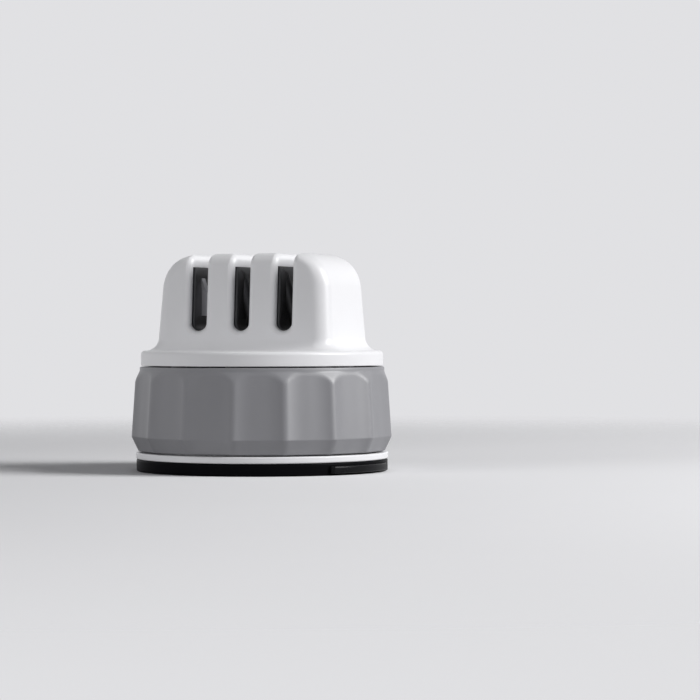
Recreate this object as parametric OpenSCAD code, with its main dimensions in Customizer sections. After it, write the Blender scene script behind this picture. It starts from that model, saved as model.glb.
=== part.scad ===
// Round countertop knife sharpener: three pull-through slots in a head that stands on a twist-lock suction cup.
// Origin: middle of the face that stands on the table. +Z is up, the stages lie along X and a blade is pulled along Y.

/* [Grip ring] */
// Diameter across the ridges of the grip ring, the widest size of the object
grip_d = 64; // [60:1:72]
// Height of the grip ring
grip_h = 20.35; // [19.6:0.05:24]
// Wall of the ring from a ridge to its inside
grip_wall = 3.8; // [3.4:0.1:4.4]
// Number of flutes
flute_count = 16; // [12:1:20]
// Depth of a flute
flute_depth = 0.9; // [0.5:0.05:1.1]
// Turn of the flutes against the head at rest, in degrees
flute_phase = 3.5; // [0:0.5:11]
// How far the ring draws in at its foot
foot_inset = 1.7; // [1:0.1:2.2]
// Height of the sloping foot, up to the parting line
foot_h = 3.5; // [2.6:0.1:4.2]
// How far the ring draws in at its shoulder
shoulder_inset = 0.9; // [0.4:0.1:1.2]
// How far the ring draws in at its crown
crown_inset = 2.2; // [1.6:0.1:2.6]
// Height of the bevel between shoulder and crown
bevel_h = 2.2; // [1.6:0.1:2.6]
// Height of the upright band above the bevel
crown_h = 0.9; // [0.6:0.1:1.2]
// Radial width of the lip that runs round the base
lip_w = 1.5; // [1.1:0.1:1.9]
// Height of that lip
lip_h = 2; // [1.4:0.1:2.6]
// Radial width of the shelf that carries the cam plate
shelf_w = 7.2; // [6.6:0.1:7.8]
// Thickness of that shelf
shelf_t = 2; // [1.6:0.1:2.4]
// Height of the screw bosses on the shelf
grip_boss_h = 4; // [3.8:0.1:4.6]

/* [Suction cup] */
// Height of the rubber rim under the base plate
cup_h = 3; // [2.6:0.1:3.6]
// Width of the flat sealing lip
cup_lip = 3.2; // [2.4:0.1:4]
// Rise of the hollow under the cup at its middle
cup_dish = 1.4; // [1:0.1:1.6]
// Thickness of the flexible middle
cup_skin = 1.3; // [1:0.1:1.5]
// Width of the thick bead round the flexible middle
cup_bead = 5.6; // [5:0.1:6.4]
// Diameter of the boss that holds the stem
cup_boss_d = 13; // [12:0.2:15]
// Height of the hooked rib that holds the cup to the base plate
cup_rib_h = 0.9; // [0.6:0.1:1.1]
// Width of that rib
cup_rib_w = 1.2; // [0.8:0.1:1.6]
// Width of the release tab
tab_w = 17; // [12:0.5:20]
// How far the release tab stands out
tab_reach = 1.1; // [0.6:0.1:1.2]
// Thickness of the release tab
tab_t = 1.7; // [1.2:0.1:2]

/* [Base plate] */
// Height of the visible rim
rim_h = 1.6; // [1.3:0.1:2]
// How far the rim stands back from the ridges of the grip ring
rim_step = 1.3; // [0.8:0.1:1.8]
// Height of the dome inside the grip ring, from the rim's underside
dome_h = 8; // [7.8:0.1:8.6]
// Wall of the dome
dome_wall = 1.8; // [1.4:0.1:2.2]
// Thickness of the dome's roof
roof_t = 1.6; // [1.2:0.1:1.6]
// Diameter of the centre tower as a share of the grip ring's diameter
tower_share = 0.281; // [0.276:0.001:0.286]

/* [Lift] */
// Travel of the stem
lift = 4; // [3.4:0.1:4.2]
// Quarter turn of the ring that gives the whole travel, in degrees
lift_turn = 90; // [80:1:95]
// Diameter of the stem
stem_d = 6; // [5.6:0.1:6.4]
// Diameter of the stem's foot in the rubber
stem_foot_d = 9.6; // [8.6:0.2:10.4]
// Diameter of the cross pin
pin_d = 2.5; // [2:0.1:2.6]
// Radial width of the cam track
track_w = 4; // [3:0.1:4.4]
// Thickness of the cam plate's web
web_t = 2; // [1.8:0.1:2.4]
// Number of ribs on the web
web_ribs = 8; // [4:4:12]
// Thickness of the slip washer
washer_t = 0.8; // [0.5:0.1:1]

/* [Head] */
// How far the flange stands back from the ridges of the grip ring
flange_step = 2.5; // [2.2:0.1:2.8]
// Height of the flange
flange_h = 3.6; // [3.4:0.1:4.2]
// Rounding of the flange's upper edge
flange_edge = 1; // [0.4:0.1:1.2]
// Wall of the flange's rim
flange_wall = 2; // [1.6:0.1:2.4]
// Height of the head above the flange
head_h = 23.8; // [23:0.2:28]
// Length of the head at the flange
head_l = 46.8; // [46.4:0.2:50]
// Width of the head at the flange
head_w = 26; // [24.6:0.2:29]
// Draft of the head's four sides, in degrees
head_draft = 3.7; // [2:0.1:4.2]
// Radius of the upright corners
corner_r = 4; // [3:0.2:5]
// Radius of the two ends of the top
end_r = 8; // [6:0.2:9]
// Radius of the top's front and rear edges
edge_r = 3; // [2.2:0.1:3.6]
// Radius of the hollow foot where the head meets the flange
foot_r = 3.2; // [2:0.1:3.4]
// Wall of the head
shell_wall = 1.6; // [1.3:0.1:1.9]
// Thickness of the head's top
top_wall = 3.2; // [2.6:0.1:3.8]
// Thickness of the deck
deck_t = 2; // [1.8:0.1:2.2]

/* [Slots and stages] */
// Width of a slot
slot_w = 4.2; // [3.6:0.1:4.6]
// Distance between two slots
slot_pitch = 11.4; // [11:0.1:11.6]
// Height of a slot's floor above the flange
slot_floor = 4.8; // [4.2:0.1:6]
// Radius of the rounded edges of a slot
lip_r = 1.4; // [0.8:0.1:1.5]
// Gap between the head and the inserts, front and rear
insert_inset = 1; // [0.4:0.1:1.2]
// Distance from the head's front to the first abrasive
stage_inset = 6; // [5:0.1:7]
// Diameter of a sharpening rod
rod_d = 3; // [2.6:0.1:3.2]
// How far the upper end of a rod leans out from the slot's middle
rod_spread = 3.7; // [3.2:0.1:3.8]
// Height above a slot's floor where the rods cross
rod_cross = 2; // [1.6:0.1:3]
// Thickness of a carbide plate
carbide_t = 1.8; // [1.4:0.1:2]
// Lean of a carbide edge, in degrees
carbide_lean = 20; // [16:0.5:22]
// Depth below their upper ends where the carbide edges cross
carbide_cross = 6.6; // [5.6:0.1:7.6]
// Height of a carbide plate
carbide_h = 10.4; // [9:0.1:11]
// Reach of a carbide plate from the slot's middle
carbide_reach = 4.5; // [4:0.1:4.6]

/* [Screws] */
// Shank diameter of the screws
screw_d = 2.2; // [1.8:0.1:2.2]
// Head diameter of the screws
screw_head_d = 3.8; // [3.4:0.1:4]
// Head height of the screws
screw_head_h = 1.2; // [0.9:0.1:1.3]
// Wall of a screw boss
boss_wall = 1.3; // [1.1:0.1:1.4]
// Thread length in the head's bosses and in the deck
thread_l = 4; // [3.4:0.1:4.4]

/* [Clearances] */
// Visible gap under the grip ring
ring_gap = 0.35; // [0.25:0.05:0.5]
// Visible gap above the grip ring
head_gap = 0.3; // [0.2:0.05:0.5]
// Radial clearance of turning and sliding fits
run_gap = 0.08; // [0.04:0.01:0.1]
// Clearance round pieces that are pressed or moulded in
fit_gap = 0.04; // [0.02:0.01:0.06]
// Gap between the cam and the parts that pass over it
cam_gap = 0.1; // [0.06:0.01:0.15]
// Gap above the inserts
insert_top_gap = 0.3; // [0.1:0.05:0.4]
// Gap between two neighbouring inserts
insert_gap = 0.8; // [0.6:0.1:1]

/* [Hidden] */
$fn = 96;

// How far every cut runs past the face that it opens
over = 0.5;
// Flat steps that stand for a rounded corner
arc_steps = 6;

// Radii that follow the grip ring
grip_r = grip_d / 2;
base_r = grip_r - rim_step;
cup_setback = 0.1;
cup_r = base_r - cup_setback;
flange_r = grip_r - flange_step;
grip_in_r = grip_r - grip_wall;
dome_r = grip_in_r - lip_w - run_gap;
shelf_r = grip_in_r - shelf_w;
web_clear = 1.1;
web_r = dome_r - web_clear;
web_screw_inset = 2.4;
web_screw_r = web_r - web_screw_inset;
tower_r = grip_r * tower_share;
track_in_r = tower_r + run_gap;
track_r = track_in_r + track_w;

// Levels from the table up
z_rim = cup_h;
z_rim_top = z_rim + rim_h;
z_grip = z_rim_top + ring_gap;
z_grip_top = z_grip + grip_h;
z_flange = z_grip_top + head_gap;
z_flange_top = z_flange + flange_h;
z_top = z_flange_top + head_h;
z_roof = z_rim + dome_h;
z_roof_under = z_roof - roof_t;
z_web = z_roof + washer_t + cam_gap;
z_web_top = z_web + web_t;
z_shelf = z_web_top;
deck_inset = 0.3;
z_deck = z_flange + deck_inset;
z_deck_top = z_deck + deck_t;
hub_h = 3.3;
z_tower = z_deck - hub_h;
z_slot = z_flange_top + slot_floor;
z_ceiling = z_top - top_wall;
z_insert_top = z_ceiling - insert_top_gap;
stage_cover = 1.4;
z_stage_top = z_insert_top - stage_cover;
rod_lean = atan(rod_spread / (z_stage_top - z_slot - rod_cross));

// The pin rests on a track whose slope is steepest at its inner edge
pin_r = pin_d / 2;
track_slope = atan(lift / (track_in_r * lift_turn * PI / 180));
track_low_rise = 0.4;
z_track = z_web_top + track_low_rise;
z_pin = z_track + pin_r / cos(track_slope) + cam_gap;
stem_head = 3;
z_stem_top = z_pin + stem_head;

screw_r = screw_d / 2;
screw_head_r = screw_head_d / 2;
pilot_r = screw_r + fit_gap;
screw_hole_r = screw_r + run_gap;
boss_r = screw_r + boss_wall;
tower_screw_r = (tower_r + stem_d / 2) / 2;
boss_inset_x = 4;
boss_x = head_l / 2 - boss_inset_x;
boss_y_share = 0.25;
boss_y = head_w * boss_y_share;
pilot_spare = 0.6;

draft_slope = tan(head_draft);
insert_w = slot_pitch - insert_gap;
stage_y = half_width(head_h / 2) - stage_inset;
SIDES = [-1, 1];
STAGES = [-1, 0, 1];

white = [0.93, 0.93, 0.94];
grey = [0.45, 0.45, 0.48];
dark = [0.16, 0.16, 0.18];
rubber = [0.03, 0.03, 0.035];
steel = [0.72, 0.72, 0.74];

// Vector v turned by an angle about the origin
function turned(v, angle) = [v[0] * cos(angle) - v[1] * sin(angle), v[0] * sin(angle) + v[1] * cos(angle)];

// Arc that rounds the corner q = [x, y, radius] between its neighbours p and s
function corner_arc(p, q, s) =
    let (
        tip = [q[0], q[1]],
        u = ([p[0], p[1]] - tip) / norm([p[0], p[1]] - tip),
        v = ([s[0], s[1]] - tip) / norm([s[0], s[1]] - tip),
        half = acos(u * v) / 2,
        mid = tip + (u + v) / norm(u + v) * q[2] / sin(half),
        from = tip + u * q[2] / tan(half) - mid,
        sweep = (180 - 2 * half) * sign(cross(v, u))
    )
    [for (i = [0:arc_steps]) mid + turned(from, sweep * i / arc_steps)];

// Outline whose corners are [x, y] where sharp and [x, y, radius] where round
function outline(corners) =
    let (n = len(corners))
    [
        for (i = [0:n - 1])
            each (len(corners[i]) < 3
                ? [corners[i]]
                : corner_arc(corners[(i + n - 1) % n], corners[i], corners[(i + 1) % n]))
    ];

// Solid between rings of equally many points, each ring counterclockwise seen from the next
module loft(rings) {
    n = len(rings[0]);
    last = (len(rings) - 1) * n;
    polyhedron(
        points = [for (ring = rings) each ring],
        faces = concat(
            [[for (i = [0:n - 1]) i]],
            [
                for (k = [0:n:last - n], i = [0:n - 1])
                    let (j = (i + 1) % n)
                    each [[k + i, k + n + i, k + n + j], [k + i, k + n + j, k + j]]
            ],
            [[for (i = [n - 1:-1:0]) last + i]]
        )
    );
}

module at_angles(angles, radius) {
    for (a = angles) rotate([0, 0, a]) translate([radius, 0, 0]) children();
}

// Upright hole or column that starts at a level
module column(r, z_from, z_to) {
    translate([0, 0, z_from]) cylinder(r = r, h = z_to - z_from);
}

// Pan-head screw whose head ends at z_seat and whose shank goes up from there
module screw(z_seat, shank) {
    head_edge = screw_head_h / 3;
    rotate_extrude()
        translate([0, z_seat])
            polygon(outline([
                [0, -screw_head_h], [screw_head_r, -screw_head_h, head_edge], [screw_head_r, 0],
                [screw_r, 0], [screw_r, shank - screw_r / 2], [screw_r / 2, shank], [0, shank]
            ]));
}

// Suction cup
function dish_z(r, seal_r) = cup_dish * (1 - pow(r / seal_r, 2));

module suction_cup() {
    seal_r = cup_r - cup_lip;
    bead_r = cup_r - cup_bead;
    boss_cup_r = cup_boss_d / 2;
    boss_rise = 1;
    dish_steps = 6;
    edge = 0.4;
    rib_mid_r = (cup_r + bead_r) / 2;
    color(rubber) {
        difference() {
            rotate_extrude()
                polygon(concat(
                    [for (i = [0:dish_steps]) [seal_r * i / dish_steps, dish_z(seal_r * i / dish_steps, seal_r)]],
                    outline([
                        [seal_r, 0], [cup_r, 0, edge], [cup_r, z_rim, edge],
                        [bead_r, z_rim], [bead_r, dish_z(bead_r, seal_r) + cup_skin, edge],
                        [boss_cup_r, dish_z(boss_cup_r, seal_r) + cup_skin], [boss_cup_r, z_rim + boss_rise, edge],
                        [0, z_rim + boss_rise]
                    ])
                ));
            stem_shape(fit_gap, z_rim + boss_rise + over + stem_nose);
        }
        rotate_extrude()
            translate([rib_mid_r - cup_rib_w / 2, z_rim - over]) square([cup_rib_w, cup_rib_h + over]);
        release_tab();
    }
}

module release_tab() {
    tab_z = 0.5;
    tab_edge = 3;
    translate([0, 0, tab_z])
        linear_extrude(tab_t)
            intersection() {
                difference() {
                    circle(r = cup_r + tab_reach);
                    circle(r = cup_r - cup_lip / 2);
                }
                translate([cup_r - cup_lip, 0])
                    polygon(outline([
                        [0, -tab_w / 2], [cup_lip + tab_reach, -tab_w / 2, tab_edge],
                        [cup_lip + tab_reach, tab_w / 2, tab_edge], [0, tab_w / 2]
                    ]));
            }
}

// Stem with its foot and its nose, grown by a clearance, up to a level
stem_nose = stem_d / 8;

module stem_shape(grow, z_end) {
    foot_t = 0.9;
    foot_z = cup_dish + cup_skin / 2;
    neck_r = stem_d / 2 + grow;
    foot_disc_r = stem_foot_d / 2 + grow;
    rotate_extrude()
        polygon([
            [0, foot_z - grow], [foot_disc_r, foot_z - grow], [foot_disc_r, foot_z + foot_t + grow],
            [neck_r, foot_z + foot_t + grow], [neck_r, z_end - stem_nose], [neck_r - stem_nose, z_end], [0, z_end]
        ]);
}

module cup_stem() {
    color(steel)
        difference() {
            stem_shape(0, z_stem_top);
            translate([0, 0, z_pin]) rotate([0, 90, 0]) cylinder(r = pin_r + fit_gap, h = stem_d + over, center = true);
        }
}

module lift_pin() {
    pin_end_gap = 0.5;
    pin_l = 2 * (track_r - pin_end_gap);
    pin_tip = pin_r / 4;
    color(steel)
        translate([0, 0, z_pin])
            rotate([0, 90, 0])
                rotate_extrude()
                    polygon([
                        [0, -pin_l / 2], [pin_r - pin_tip, -pin_l / 2], [pin_r, pin_tip - pin_l / 2],
                        [pin_r, pin_l / 2 - pin_tip], [pin_r - pin_tip, pin_l / 2], [0, pin_l / 2]
                    ]);
}

// Base plate with dome and centre tower
TOWER_SCREWS = [45:90:315];

module base_plate() {
    bore_r = stem_d / 2 + run_gap;
    rim_edge = 0.35;
    dome_edge = 1.2;
    slot_h = lift + pin_d + 2 * run_gap;
    rib_mid_r = cup_r - cup_bead / 2;
    color(white)
        difference() {
            rotate_extrude()
                polygon(outline([
                    [bore_r, z_roof_under], [dome_r - dome_wall, z_roof_under, dome_edge],
                    [dome_r - dome_wall, z_rim], [base_r, z_rim, rim_edge], [base_r, z_rim_top, rim_edge],
                    [dome_r, z_rim_top], [dome_r, z_roof, dome_edge], [tower_r, z_roof],
                    [tower_r, z_tower], [bore_r, z_tower]
                ]));
            rotate_extrude()
                translate([rib_mid_r - cup_rib_w / 2 - fit_gap, z_rim - over])
                    square([cup_rib_w + 2 * fit_gap, cup_rib_h + fit_gap + over]);
            at_angles(TOWER_SCREWS, tower_screw_r) column(screw_hole_r, z_roof_under - over, z_tower + over);
            translate([0, 0, z_pin - pin_r - run_gap])
                linear_extrude(slot_h) square([2 * tower_r + over, pin_d + 2 * run_gap], center = true);
        }
}

module base_screws() {
    color(steel)
        at_angles(TOWER_SCREWS, tower_screw_r) screw(z_roof_under, z_tower + thread_l - z_roof_under);
}

module slip_washer() {
    washer_gap = 0.5;
    washer_r = web_screw_r - screw_head_r - washer_gap;
    color([0.85, 0.84, 0.8])
        translate([0, 0, z_roof])
            difference() {
                cylinder(r = washer_r, h = washer_t);
                column(tower_r + washer_gap, -over, washer_t + over);
            }
}

// Cam plate: a web that is fixed under the ring's shelf, with a two-start face cam round the tower
CAM_SCREWS = [45:90:315];

// One start of the track, from before the low end to past the high end
module track_start() {
    lead = 15;
    step = 5;
    depth = track_low_rise + over;
    in_r = track_in_r - over;
    out_r = track_r + over;
    loft([
        for (a = [-lead:step:lift_turn + lead])
            let (z = z_track + lift * a / lift_turn, c = cos(a), s = sin(a))
            [
                [in_r * c, in_r * s, z_track - depth], [in_r * c, in_r * s, z],
                [out_r * c, out_r * s, z], [out_r * c, out_r * s, z_track - depth]
            ]
    ]);
}

// Block between the high end of one start and the low end of the other
module track_stop() {
    lead = 15;
    stop_h = lift + pin_d;
    translate([0, 0, z_web_top - over])
        rotate([0, 0, lift_turn + lead])
            rotate_extrude(angle = 180 - lift_turn - 2 * lead) square([track_r + over, stop_h + over]);
}

module cam_plate() {
    rib_t = 1.2;
    rib_h = 2;
    rib_root = 0.2;
    seat_depth = screw_head_h + cam_gap;
    color(dark) {
        difference() {
            union() {
                column(web_r, z_web, z_web_top);
                for (i = [0:web_ribs - 1])
                    rotate([0, 0, 360 * (i + 1 / 2) / web_ribs])
                        translate([track_r - rib_root, -rib_t / 2, z_web])
                            cube([shelf_r - track_r - cam_gap + rib_root, rib_t, web_t + rib_h]);
            }
            column(track_in_r, z_web - over, z_web_top + over);
            at_angles(CAM_SCREWS, web_screw_r) {
                column(screw_hole_r, z_web - over, z_web_top + over);
                column(screw_head_r + run_gap, z_web - over, z_web + seat_depth);
            }
        }
        intersection() {
            for (turn = [0, 180]) rotate([0, 0, turn]) {
                track_start();
                track_stop();
            }
            difference() {
                column(track_r, z_web, z_tower);
                column(track_in_r, z_web - over, z_tower + over);
            }
        }
    }
}

module cam_screws() {
    bite = grip_boss_h + shelf_t - pilot_spare * 2;
    seat = z_web + screw_head_h + cam_gap;
    color(steel) at_angles(CAM_SCREWS, web_screw_r) screw(seat, z_web_top - seat + bite);
}

// Grip ring
flute_share = 0.75;
foot_flute_share = 0.45;
run_out_share = 0.95;
FLUTE_STOPS_SHARES = [-1, -0.92, -0.84, -0.75, -0.5, -0.25, 0, 0.25, 0.5, 0.75, 0.84, 0.92];
shoulder_z = grip_h - crown_h - bevel_h;
body_taper = shoulder_inset / (shoulder_z - foot_h);
bevel_slope = (crown_inset - shoulder_inset) / bevel_h;

// Depth of a flute at u, which runs from -1 to 1 between the middles of two ridges. The hollow floor changes to
// the round ridge without a crease at u = flute_share.
function flute_cut(u) =
    abs(u) <= flute_share
        ? flute_depth * (1 - u * u / flute_share)
        : flute_depth * pow(1 - abs(u), 2) / (1 - flute_share);

// Height at which the floor of a flute comes out through the bevel
function flute_end(u) = shoulder_z + min(flute_cut(u) / (bevel_slope - body_taper), bevel_h * run_out_share);

// Rows of the ring's skin at u, as pairs of height and radius
function skin_rows(u) =
    let (cut = flute_cut(u), end = flute_end(u))
    [
        [0, grip_r - foot_inset - cut * foot_flute_share],
        [foot_h, grip_r - cut],
        [end, grip_r - (end - foot_h) * body_taper - cut],
        [grip_h - crown_h, grip_r - crown_inset],
        [grip_h, grip_r - crown_inset]
    ];

module grip_skin() {
    pitch = 360 / flute_count;
    loft([
        for (k = [0:4]) [
            for (i = [0:flute_count - 1], u = FLUTE_STOPS_SHARES)
                let (a = flute_phase - 90 + pitch * (i + u / 2), row = skin_rows(u)[k])
                [row[1] * cos(a), row[1] * sin(a), z_grip + row[0]]
        ]
    ]);
}

module grip_ring() {
    lip_r_in = dome_r + run_gap;
    shelf_edge = 0.6;
    color(grey)
        difference() {
            union() {
                difference() {
                    grip_skin();
                    rotate_extrude()
                        polygon([
                            [0, z_grip - over], [lip_r_in, z_grip - over], [lip_r_in, z_grip + lip_h],
                            [grip_in_r, z_grip + lip_h + lip_w], [grip_in_r, z_shelf], [shelf_r, z_shelf],
                            [shelf_r, z_shelf + shelf_t - shelf_edge], [shelf_r + shelf_edge, z_shelf + shelf_t],
                            [grip_in_r, z_shelf + shelf_t], [grip_in_r, z_grip_top + over], [0, z_grip_top + over]
                        ]);
                }
                at_angles(CAM_SCREWS, web_screw_r)
                    column(boss_r, z_shelf + shelf_t / 2, z_shelf + shelf_t + grip_boss_h);
            }
            at_angles(CAM_SCREWS, web_screw_r)
                column(pilot_r, z_shelf - over, z_shelf + shelf_t + grip_boss_h - pilot_spare);
        }
}

// Deck: floor of the head, with a hub that stands on the tower
BOSSES = [for (i = SIDES, j = SIDES) [i * boss_x, j * boss_y]];

module at_bosses() {
    for (p = BOSSES) translate([p[0], p[1], 0]) children();
}

module deck_plate() {
    deck_gap = 0.2;
    fence_t = insert_gap - 2 * fit_gap;
    fence_h = 2.5;
    fence_l = 2 * (boss_y - boss_r - deck_gap);
    hub_bore_h = stem_d / 3;
    hub_clear = 0.15;
    color(white)
        difference() {
            union() {
                column(flange_r - flange_wall - deck_gap, z_deck, z_deck_top);
                column(tower_r, z_tower, z_deck);
                for (i = [-3:2:3])
                    translate([i * slot_pitch / 2 - fence_t / 2, -fence_l / 2, z_deck])
                        cube([fence_t, fence_l, deck_t + fence_h]);
            }
            at_bosses() column(screw_hole_r, z_deck - over, z_deck_top + over);
            at_angles(TOWER_SCREWS, tower_screw_r) column(pilot_r, z_tower - over, z_tower + thread_l + pilot_spare);
            column(stem_d / 2 + hub_clear, z_tower - over, z_tower + hub_bore_h);
        }
}

module head_screws() {
    color(steel) at_bosses() screw(z_deck, deck_t + thread_l);
}

// Head shell
function arc_drop(h, from, r) = h <= from ? 0 : r - sqrt(max(0, r * r - pow(h - from, 2)));

function half_length(h) = head_l / 2 - draft_slope * h - arc_drop(h, head_h - end_r, end_r);

function half_width(h) = head_w / 2 - draft_slope * h - arc_drop(h, head_h - edge_r, edge_r);

// Rounded rectangle at a level, with its half sizes and corner radius
function plan(a, b, r, z, steps) = [
    for (k = [0:3], i = [0:steps])
        let (t = 90 * k + 90 * i / steps, sx = k == 0 || k == 3 ? 1 : -1, sy = k < 2 ? 1 : -1)
        [sx * (a - r) + r * cos(t), sy * (b - r) + r * sin(t), z]
];

module head_skin() {
    foot_steps = 5;
    end_steps = 9;
    corner_steps = 6;
    loft(concat(
        [plan(half_length(0) + foot_r, half_width(0) + foot_r, corner_r + foot_r, z_flange_top - over, corner_steps)],
        [
            for (i = [1:foot_steps])
                let (t = 90 * i / foot_steps, h = foot_r * (1 - cos(t)), grow = foot_r * (1 - sin(t)))
                plan(half_length(h) + grow, half_width(h) + grow, corner_r + grow, z_flange_top + h, corner_steps)
        ],
        [
            for (i = [0:end_steps])
                let (h = head_h - end_r + end_r * sin(90 * i / end_steps))
                plan(half_length(h), half_width(h), corner_r, z_flange_top + h, corner_steps)
        ]
    ));
}

// Space inside the head, from the deck up to the ceiling
module head_hollow() {
    rise = z_ceiling - z_flange_top;
    corner_steps = 3;
    levels = [z_deck_top - z_flange_top - over, head_h - end_r, (rise + head_h - end_r) / 2, rise];
    loft([
        for (h = levels)
            let (a = half_length(h) - shell_wall, b = half_width(h) - shell_wall)
            plan(a, b, corner_r - shell_wall, z_flange_top + h, corner_steps)
    ]);
}

// Half width that a slot's rounded edge clears at each depth, from outside the wall to where it is upright
LIP_STEPS = 5;
LIP_TURN = 78;
lip_profile = concat(
    [[slot_w / 2 + lip_r + over, -over]],
    [
        for (i = [0:LIP_STEPS])
            let (t = LIP_TURN * (1 - i / LIP_STEPS))
            [slot_w / 2 + lip_r * (1 - cos(t)), lip_r * (1 - sin(t))]
    ]
);
lip_outline = concat(
    [for (p = lip_profile) [-p[0], p[1]]],
    [for (i = [len(lip_profile) - 1:-1:0]) lip_profile[i]]
);

// Cut that rounds a slot's edges over the front, the front edge and half the top
module slot_lips() {
    start = (slot_floor + slot_w / 2) / cos(head_draft);
    run = (head_h - edge_r) / cos(head_draft);
    edge_y = half_width(head_h - edge_r) - edge_r;
    translate([0, -head_w / 2, z_flange_top])
        rotate([-head_draft, 0, 0])
            translate([0, 0, start]) {
                linear_extrude(run - start) polygon(lip_outline);
                rotate([-90, 0, 0])
                    rotate_extrude() polygon(concat([[0, -over]], lip_profile, [[0, lip_r]]));
            }
    translate([0, -edge_y, z_top - edge_r])
        rotate([0, -90, 0])
            rotate([0, 0, -90 - head_draft])
                rotate_extrude(angle = 90 + head_draft) polygon([for (p = lip_outline) [edge_r - p[1], p[0]]]);
    translate([0, -edge_y, z_top])
        rotate([-90, 0, 0])
            linear_extrude(edge_y + over) polygon(lip_outline);
}

// Upright slot with a round floor, through a length along Y
module slot_space(z_from, z_to, length) {
    translate([0, length / 2, 0])
        rotate([90, 0, 0])
            linear_extrude(length) {
                translate([0, z_from + slot_w / 2]) circle(r = slot_w / 2);
                translate([-slot_w / 2, z_from + slot_w / 2]) square([slot_w, z_to - z_from - slot_w / 2]);
            }
}

module head_shell() {
    rim_in_r = flange_r - flange_wall;
    boss_h = thread_l + pilot_spare * 2;
    color(white)
        difference() {
            union() {
                difference() {
                    union() {
                        head_skin();
                        rotate_extrude()
                            polygon(outline([
                                [0, z_flange], [flange_r, z_flange], [flange_r, z_flange_top, flange_edge],
                                [0, z_flange_top]
                            ]));
                    }
                    column(rim_in_r, z_flange - over, z_deck_top);
                    head_hollow();
                }
                at_bosses() column(boss_r, z_deck_top, z_deck_top + boss_h);
            }
            at_bosses() column(pilot_r, z_deck_top - over, z_deck_top + boss_h - pilot_spare);
            for (i = STAGES) translate([i * slot_pitch, 0, 0]) {
                slot_space(z_slot, z_top + over, head_w + over);
                slot_lips();
                mirror([0, 1, 0]) slot_lips();
            }
        }
}

// Insert: a drafted block with a slot, hollowed from below
module insert_block() {
    core_wall = 1.5;
    core_h = slot_floor / 2;
    length_low = 2 * (half_width(0) - shell_wall - insert_inset);
    length_high = length_low - 2 * draft_slope * (z_insert_top - z_flange_top);
    base_y = length_low + 2 * draft_slope * (z_flange_top - z_deck_top);
    core_l = length_high - 2 * core_wall;
    difference() {
        translate([-insert_w / 2, 0, 0])
            rotate([90, 0, 90])
                linear_extrude(insert_w)
                    polygon([
                        [-base_y / 2, z_deck_top], [base_y / 2, z_deck_top],
                        [length_high / 2, z_insert_top], [-length_high / 2, z_insert_top]
                    ]);
        slot_space(z_slot, z_insert_top + over, base_y + over);
        translate([core_wall - insert_w / 2, -core_l / 2, z_deck_top - over])
            cube([insert_w - 2 * core_wall, core_l, core_h + over]);
    }
}

// Places its children on a rod's axis, with the crossing at the origin and the upper end leaning to one side
module on_rod_axis(side) {
    row_y = side < 0 ? rod_d / 2 - stage_y : rod_d * 3 / 2 + fit_gap * 2 - stage_y;
    translate([0, row_y, z_slot + rod_cross]) rotate([0, side * rod_lean, 0]) children();
}

rod_seat = 1;
rod_low = (rod_cross + rod_seat) / cos(rod_lean);
rod_high = (z_stage_top - z_slot - rod_cross) / cos(rod_lean);

module rod(side) {
    rod_tip = rod_d / 12;
    on_rod_axis(side)
        rotate_extrude()
            polygon([
                [0, -rod_low], [rod_d / 2 - rod_tip, -rod_low], [rod_d / 2, rod_tip - rod_low],
                [rod_d / 2, rod_high - rod_tip], [rod_d / 2 - rod_tip, rod_high], [0, rod_high]
            ]);
}

// Carbide plate, or its pocket when it is grown and drawn up to a level
module carbide(side, grow, z_end) {
    t = carbide_t + 2 * grow;
    row_y = side < 0 ? carbide_t / 2 - stage_y : carbide_t * 3 / 2 + fit_gap * 2 - stage_y;
    z_cross = z_stage_top - carbide_cross;
    z_low = z_stage_top - carbide_h - grow;
    edge = tan(carbide_lean);
    translate([0, row_y + t / 2, 0])
        rotate([90, 0, 0])
            linear_extrude(t)
                polygon([
                    [side * (carbide_reach + grow), z_low],
                    [side * (edge * (z_low - z_cross) - grow), z_low],
                    [side * (edge * (z_end - z_cross) - grow), z_end],
                    [side * (carbide_reach + grow), z_end]
                ]);
}

module insert_coarse() {
    color(dark)
        translate([-slot_pitch, 0, 0])
            difference() {
                insert_block();
                for (side = SIDES) carbide(side, fit_gap, z_insert_top + over);
            }
}

module rod_insert() {
    color(dark)
        difference() {
            insert_block();
            for (side = SIDES)
                on_rod_axis(side)
                    translate([0, 0, -rod_low - fit_gap]) cylinder(r = rod_d / 2 + fit_gap, h = rod_low + rod_high + rod_d);
        }
}

module insert_medium() {
    rod_insert();
}

module insert_fine() {
    translate([slot_pitch, 0, 0]) rod_insert();
}

module carbide_left() {
    color(steel) translate([-slot_pitch, 0, 0]) carbide(-1, 0, z_stage_top);
}

module carbide_right() {
    color(steel) translate([-slot_pitch, 0, 0]) carbide(1, 0, z_stage_top);
}

module diamond_rod_left() {
    color([0.35, 0.35, 0.36]) rod(-1);
}

module diamond_rod_right() {
    color([0.35, 0.35, 0.36]) rod(1);
}

module ceramic_rod_left() {
    color([0.9, 0.88, 0.83]) translate([slot_pitch, 0, 0]) rod(-1);
}

module ceramic_rod_right() {
    color([0.9, 0.88, 0.83]) translate([slot_pitch, 0, 0]) rod(1);
}

suction_cup();
base_plate();
base_screws();
slip_washer();
cup_stem();
lift_pin();
cam_plate();
cam_screws();
grip_ring();
deck_plate();
head_screws();
head_shell();
insert_coarse();
insert_medium();
insert_fine();
carbide_left();
carbide_right();
diamond_rod_left();
diamond_rod_right();
ceramic_rod_left();
ceramic_rod_right();
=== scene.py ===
"""Looks of a round countertop knife sharpener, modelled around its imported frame.

The frame gives the levels and the places of the pieces. Each sub-assembly is a class: its fields are the
sizes of its own pieces in metres, and its methods model the pieces with mesh operators and dress them.
"""

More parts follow.
